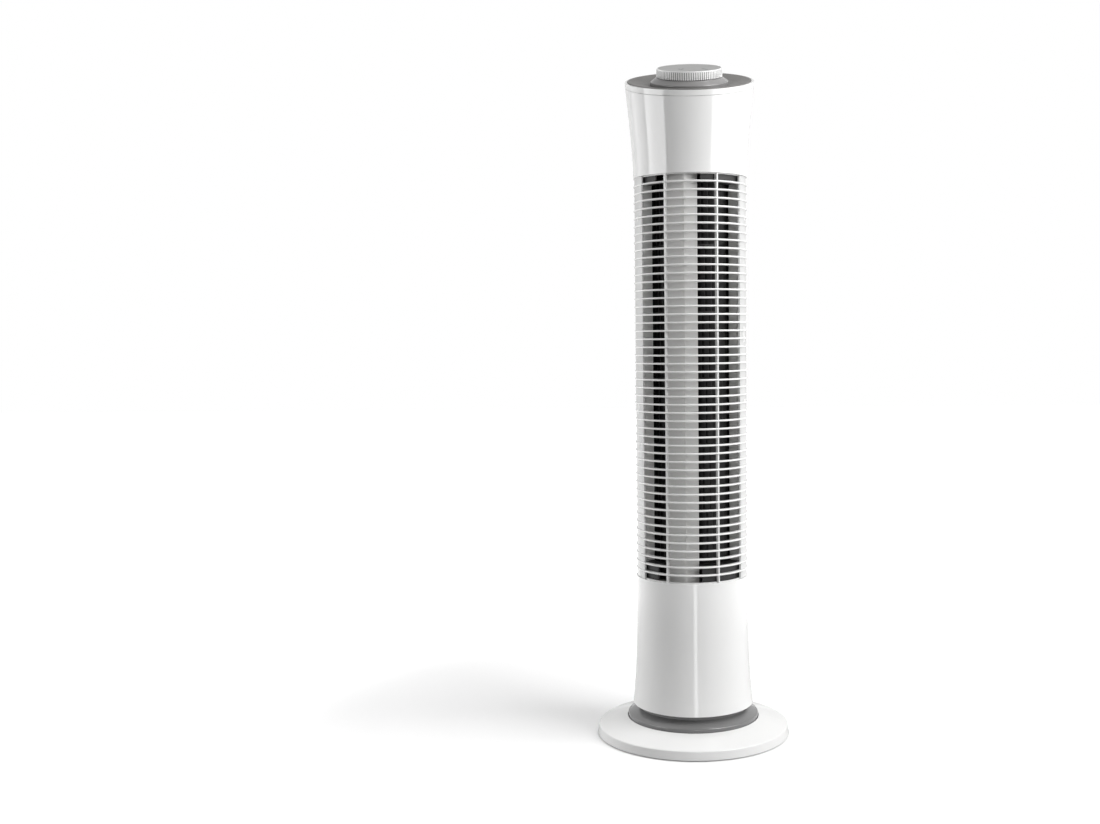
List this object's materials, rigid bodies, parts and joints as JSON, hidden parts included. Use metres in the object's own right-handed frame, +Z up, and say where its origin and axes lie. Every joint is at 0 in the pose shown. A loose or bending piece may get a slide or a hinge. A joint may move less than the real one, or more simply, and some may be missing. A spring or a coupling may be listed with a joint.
{
  "type": "tower fan",
  "caption": "White tower fan: round swinging base, slatted column with a cross-flow impeller, slanted top with one rotary dial.",
  "frame": {"origin": "centre of the round base at floor level", "axes": "+Z up along the column, which is also the swing axis; front (grille outlet, low side of the slanted top) towards -Y; +X to the right seen from the front"},
  "size_m": [0.22, 0.22, 0.768],
  "materials": {
    "casing_white": "gloss moulded plastic",
    "inner_white": "matt moulded plastic",
    "collar_grey": "satin moulded plastic",
    "plate_grey": "satin, faintly grained plastic",
    "light_grey": "satin moulded plastic",
    "black_plastic": "matt black plastic",
    "bright_steel": "bright zinc plate",
    "motor_steel": "pressed sheet steel over a laminated core",
    "ballast_steel": "black paint on steel plate",
    "foot_rubber": "matt rubber",
    "bronze": "sintered bronze"
  },
  "bodies": {
    "base": {"base_shell": "casing_white", "ballast_plate": "ballast_steel", "rubber_feet": "foot_rubber", "base_screws": "bright_steel", "swing_yoke": "light_grey", "glide_ring": "light_grey"},
    "column": {"swivel_collar": "collar_grey", "spindle_retainer": "light_grey", "retainer_screws": "bright_steel", "swing_motor": "motor_steel", "column_floor": "inner_white", "lower_front_cover": "casing_white", "lower_rear_cover": "casing_white", "front_grille": "casing_white", "rear_grille": "casing_white", "upper_front_cover": "casing_white", "upper_rear_cover": "casing_white", "cover_screws": "bright_steel", "cord_gland": "foot_rubber", "motor_deck": "inner_white", "drive_motor": "motor_steel", "motor_mounts": "foot_rubber", "mount_screws": "bright_steel", "run_capacitor": "black_plastic", "left_air_guide": "inner_white", "right_air_guide": "inner_white", "front_tongue": "inner_white", "lower_shroud": "black_plastic", "upper_shroud": "black_plastic", "bearing_deck": "inner_white", "bearing_holder": "foot_rubber", "bearing_bush": "bronze", "top_bezel": "casing_white", "control_plate": "plate_grey", "dial_collar": "plate_grey", "rotary_switch": "black_plastic", "switch_nut": "bright_steel"},
    "impeller": {"impeller": "black_plastic", "motor_shaft": "bright_steel", "shaft_coupling": "collar_grey", "coupling_screw": "bright_steel", "top_journal": "bright_steel"},
    "dial": {"dial": "casing_white", "dial_cap": "light_grey", "switch_spindle": "light_grey"},
    "crank": {"crank_disc": "casing_white"}
  },
  "joints": [
    {"name": "column_swing", "type": "hinge", "parent": "base", "child": "column", "pos_m": [0, 0, 0.02], "axis": [0, 0, 1], "range_deg": [-38, 38]},
    {"name": "impeller_spin", "type": "hinge", "parent": "column", "child": "impeller", "pos_m": [0, 0, 0.4], "axis": [0, 0, 1], "continuous": true},
    {"name": "dial_turn", "type": "hinge", "parent": "column", "child": "dial", "pos_m": [0, 0, 0.74291], "axis": [0, -0.309, 0.9511], "range_deg": [-135, 135]},
    {"name": "crank_turn", "type": "hinge", "parent": "column", "child": "crank", "pos_m": [0, 0.022, 0.015], "axis": [0, 0, 1], "range_deg": [-128, 128]}
  ],
  "couplings": [
    {"joint": "crank_turn", "follows": "column_swing", "ratio": -3.356}
  ]
}
